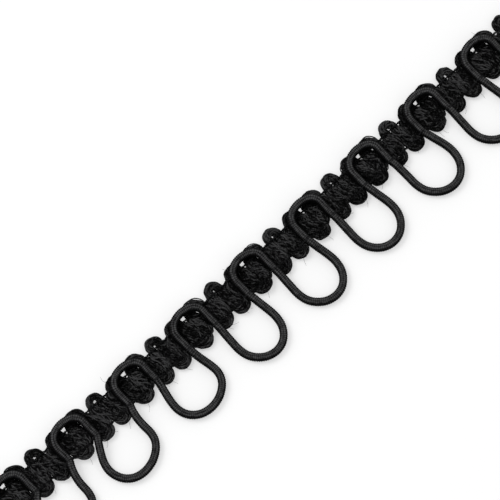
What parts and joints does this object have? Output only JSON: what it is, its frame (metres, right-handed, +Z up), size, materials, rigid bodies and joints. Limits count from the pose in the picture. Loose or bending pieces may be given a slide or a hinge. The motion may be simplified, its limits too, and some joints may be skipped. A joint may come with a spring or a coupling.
{
  "type": "elastic loop tape",
  "caption": "Flat length of button-loop trim: a zigzag yarn band with small ears and scallops, and a round elastic cord that snakes over it in open loops.",
  "frame": {"origin": "under the middle of the whole tape, on the surface that it lies on", "axes": "+X along the tape, +Y towards the small ears so that the button loops point to -Y, +Z up from the flat back to the corded face"},
  "size_m": [0.15, 0.0186, 0.0034],
  "materials": {
    "yarn": "soft multi-filament yarn, black",
    "cord_cover": "braided cover on round elastic, black, slight sheen",
    "thread": "fine twisted thread, black"
  },
  "bodies": {
    "root": {"zigzag_yarn": "yarn", "elastic_cord": "cord_cover", "upper_stitch_thread": "thread", "lower_stitch_thread": "thread"}
  },
  "joints": []
}
